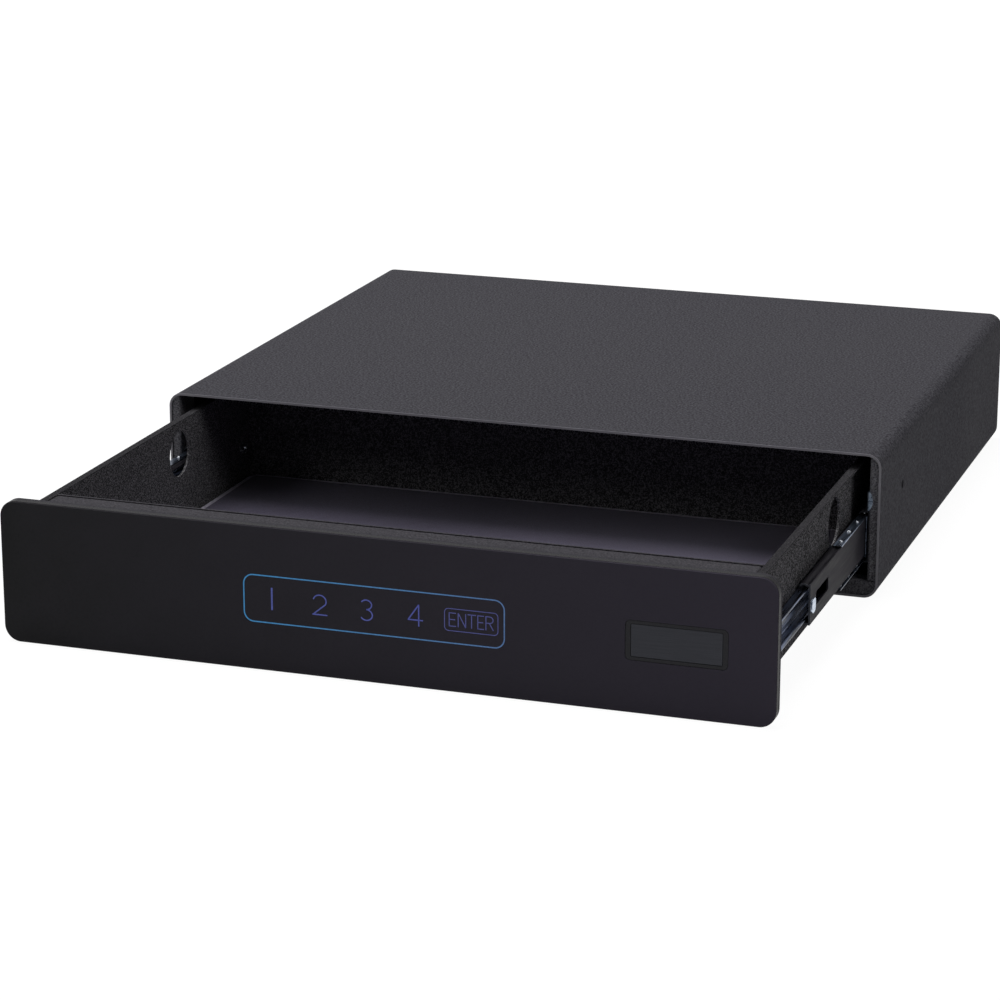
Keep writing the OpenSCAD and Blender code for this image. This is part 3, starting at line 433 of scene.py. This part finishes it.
def printed_ring(name, finish, width, x0, x1, z0, z1, r):
    """A closed line of even width inside a rounded rectangle."""
    outer = rounded_loop(x0, x1, z0, z1, r)
    inner = rounded_loop(x0 + width, x1 - width, z0 + width, z1 - width, r - width)
    printed(name, finish, outer + inner, faces_between(0, len(outer), len(outer)))


def printed_lines(name, finish, width, *lines):
    """Ribbons of even width, each along a list of points."""
    points, faces = [], []
    for line in lines:
        first = len(points)
        for i, (x, z) in enumerate(line):
            before, after = line[max(i - 1, 0)], line[min(i + 1, len(line) - 1)]
            dx, dz = after[0] - before[0], after[1] - before[1]
            half = width / 2 / math.hypot(dx, dz)
            points.extend([(x - half * dz, z + half * dx), (x + half * dz, z - half * dx)])
        faces.extend((k, k + 2, k + 3, k + 1) for k in range(first, len(points) - 2, 2))
    printed(name, finish, points, faces)


DIGIT_W = 0.8
printed_ring("keypad_frame", frame_light, 0.8, -85.3, 82.3, 31.0, 61.5, 6.5)
printed_lines("digit_1", digit_light, 1.1, [(-66.6, 39.7), (-66.6, 53.9)])
printed_lines("digit_2", digit_light, DIGIT_W,
              arc_points(-35.5, 48.6, 4.2, 3.9, 165, -28, 16) + [(-39.8, 40.1)],
              [(-40.3, 40.1), (-30.6, 40.1)])
printed_lines("digit_3", digit_light, DIGIT_W,
              arc_points(-5.5, 49.6, 3.5, 3.0, 150, -90, 14),
              arc_points(-5.5, 43.2, 3.9, 3.4, 90, -150, 16))
printed_lines("digit_4", digit_light, DIGIT_W,
              [(28.0, 39.5), (28.0, 53.2)],
              [(28.0, 53.0), (21.3, 43.4)],
              [(21.0, 43.4), (30.7, 43.4)])
printed_ring("enter_box", enter_light, 0.5, 44.1, 78.2, 38.9, 53.2, 2.75)


# The enter key's word: heights of its letters, and of the middles of their level strokes
LETTER_W = 0.6
FOOT, HEAD = 41.8, 50.6
LOW, MID, HIGH = FOOT + LETTER_W / 2, (FOOT + HEAD) / 2, HEAD - LETTER_W / 2


def upright(x):
    """A stem of full height."""
    return [(x, FOOT), (x, HEAD)]


def letter_e(x0, x1):
    """An E's stem and its three level strokes, the middle one shorter."""
    return [upright(x0)] + [[(x0, z), (end, z)] for z, end in ((LOW, x1), (MID, x1 - 0.5), (HIGH, x1))]


printed_lines("enter_word", enter_light, LETTER_W,
              *letter_e(47.3, 51.6),
              upright(53.0), upright(57.7), [(53.0, HEAD), (57.7, FOOT)],
              upright(61.4), [(58.9, HIGH), (64.2, HIGH)],
              *letter_e(65.3, 69.2),
              upright(70.4),
              [(70.4, HIGH)] + arc_points(72.8, HEAD - 2.3, 2.1, 2.0, 90, -90, 12) + [(70.4, HEAD - 4.3)],
              [(72.6, HEAD - 4.4), (75.1, FOOT)])


def badge_plate():
    """The bare plate in the key cover's sunk field: a thin metal plate with a bevelled edge."""
    low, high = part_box("key_cover")
    margin_x, margin_z, corner, bevel = 3.2 * MM, 2.2 * MM, 1.0 * MM, 0.2 * MM
    back = low.y + 0.49 * MM
    front = back - 0.35 * MM
    loops = []
    for inset, y in ((0, back), (0, front + bevel), (bevel, front)):
        dx, dz = margin_x + inset, margin_z + inset
        loop = rounded_loop(low.x + dx, high.x - dx, low.z + dz, high.z - dz, corner - inset)
        loops.append([(x, y, z) for x, z in loop])
    add_mesh("badge_plate", *lofted(loops), badge_metal, "key_cap", "cover_plastic")


badge_plate()


def divided_loop(x0, x1, y0, y1, r, steps=10, parts=14):
    """A rounded loop whose straight sides are divided too, so that they can follow an uneven top."""
    loop, points = rounded_loop(x0, x1, y0, y1, r, steps), []
    for i, (x, y) in enumerate(loop):
        after_x, after_y = loop[(i + 1) % len(loop)]
        cuts = parts if i % (steps + 1) == steps else 1
        points.extend((x + (after_x - x) * k / cuts, y + (after_y - y) * k / cuts) for k in range(cuts))
    return points


def foam_mat():
    """A foam mat with rolled edges and a faintly uneven top, in place of its plain solid."""
    low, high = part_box("foam_mat")
    height = high.z - low.z
    corner, least_corner, roll = 10 * MM, 0.4 * MM, 1.6 * MM
    wave, sink = 0.12 * MM, 0.14 * MM
    # Each loop of the skin is an inset from the mat's outline and a height
    foot = [(0.4 * MM, 0.05 * MM), (0.0, 0.6 * MM)]
    rolled = [(roll * (1 - math.cos(a)), height - roll + roll * math.sin(a))
              for a in (math.radians(15 * i) for i in range(7))]
    top = [(inset * MM, height) for inset in (4, 9, 18, 32, 50, 70, 90, 110)]
    first_top = len(foot) + len(rolled)

    def lift(level, x, y):
        """How far the top stands above its plain height: a wave, sunk to stay inside the solid."""
        if level < first_top:
            return 0.0
        return wave * math.sin(31 * x + 2) * math.sin(43 * y) - sink

    loops = []
    for level, (inset, z) in enumerate(foot + rolled + top):
        loop = divided_loop(low.x + inset, high.x - inset, low.y + inset, high.y - inset,
                            max(corner - inset, least_corner))
        loops.append([(x, y, low.z + z + lift(level, x, y)) for x, y in loop])
    field = foam("foam", (64, 61, 73), (91, 86, 105))
    # Painted light: the mat is painted paler towards its right-hand end
    field.zone(field.along("X", -50 * MM, 150 * MM, 0.0, 0.3), (132, 128, 146))
    mat = add_mesh("foam_liner", *lofted(loops), field, "drawer", "foam")
    # Painted highlight: the rolled edge gets a much paler foam, where the roll catches the light
    mat.data.materials.append(foam("foam_edge_highlight", (146, 142, 156), (182, 177, 192)).material)
    # A painted highlight on the roll: the pale edge starts 30 degrees up the roll and ends at the first loop
    # of the top
    edge = range(len(foot) + 2, first_top)
    for face in mat.data.polygons:
        face.use_smooth = True
        face.material_index = int(face.index // len(loops[0]) in edge)
    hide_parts("foam_mat")


foam_mat()


# Stage, light and camera

def show(tree, output, seen, unseen):
    """Gives one shader to the camera and to rays in gloss and glass, and another to every other ray."""
    path = add(tree, "LightPath")
    looked_at = path.outputs["Is Camera Ray"]
    for ray in ("Is Glossy Ray", "Is Transmission Ray"):
        either = add(tree, "Math", {0: looked_at, 1: path.outputs[ray]}, operation="MAXIMUM")
        looked_at = either.outputs["Value"]
    mix = add(tree, "MixShader", {"Fac": looked_at, 1: unseen, 2: seen})
    fill(tree, tree.nodes[output], {"Surface": mix.outputs["Shader"]})


def white_world(ambient_strength):
    """White behind the object, and a faint even light on it."""
    world = bpy.data.worlds.new("studio")
    bpy.context.scene.world = world
    world.use_nodes = True
    tree = world.node_tree
    ambient = fill(tree, tree.nodes["Background"], {"Color": WHITE, "Strength": ambient_strength})
    backdrop = add(tree, "Background", {"Color": WHITE, "Strength": 1.0})
    show(tree, "World Output", backdrop.outputs[0], ambient.outputs[0])


def floor_paper():
    """White paper that glows by itself, more so far away, and keeps a share of the object's shadow. The
    light that it sends back onto the object is that of a plain grey floor."""
    glow_share, near, far, near_glow, far_glow = 0.86, 0.9, 2.2, 1.1, 1.3
    material = bpy.data.materials.new("floor_paper")
    material.use_nodes = True
    tree = material.node_tree
    place = add(tree, "TexCoord").outputs["Object"]
    away = add(tree, "VectorMath", {0: place}, operation="LENGTH").outputs["Value"]
    strength = spread(tree, away, near, far, near_glow, far_glow)
    glow = add(tree, "Emission", {"Color": WHITE, "Strength": strength})
    shadowed = add(tree, "BsdfDiffuse", {"Color": (0.82, 0.82, 0.83, 1)})
    seen = add(tree, "MixShader", {"Fac": glow_share, 1: shadowed.outputs[0], 2: glow.outputs[0]})
    bounce = add(tree, "BsdfDiffuse", {"Color": (0.45, 0.45, 0.46, 1)})
    show(tree, "Material Output", seen.outputs[0], bounce.outputs[0])
    return material


white_world(ambient_strength=0.06)
bpy.ops.mesh.primitive_plane_add(size=14, location=(0, 0, 0))
floor = bpy.context.object
floor.name = "floor"
floor.data.materials.append(floor_paper())


def softbox(name, place, target, size, power):
    """A rectangular lamp that faces a target."""
    data = bpy.data.lights.new(name, "AREA")
    data.shape = "RECTANGLE"
    data.size, data.size_y = size
    data.energy = power
    obj = bpy.data.objects.new(name, data)
    bpy.context.collection.objects.link(obj)
    obj.location = place
    obj.rotation_euler = (Vector(target) - Vector(place)).to_track_quat("-Z", "Y").to_euler()


softbox("overhead", (-0.35, 0.0, 2.2), target=(0, -0.1, 0), size=(1.8, 1.4), power=50)
softbox("front_left", (-1.7, -2.3, 1.9), target=(0, -0.3, 0.05), size=(1.2, 0.9), power=9.4)
softbox("right", (2.2, -0.9, 1.75), target=(0.1, -0.2, 0.05), size=(1.0, 0.7), power=12)

# The photograph's viewing angle: degrees from straight down, and round to the right of the front
CAMERA_PLACE = (0.675430, -2.214292, 0.667435)
CAMERA_TILT = 73.56815
CAMERA_TURN = 18.84663
CAMERA_LENS = 118.4947

camera_data = bpy.data.cameras.new("camera")
camera_data.sensor_width = 36
camera_data.lens = CAMERA_LENS
camera = bpy.data.objects.new("camera", camera_data)
bpy.context.collection.objects.link(camera)
camera.location = CAMERA_PLACE
camera.rotation_euler = (math.radians(CAMERA_TILT), 0, math.radians(CAMERA_TURN))
bpy.context.scene.camera = camera
bpy.context.scene.view_settings.view_transform = "Standard"
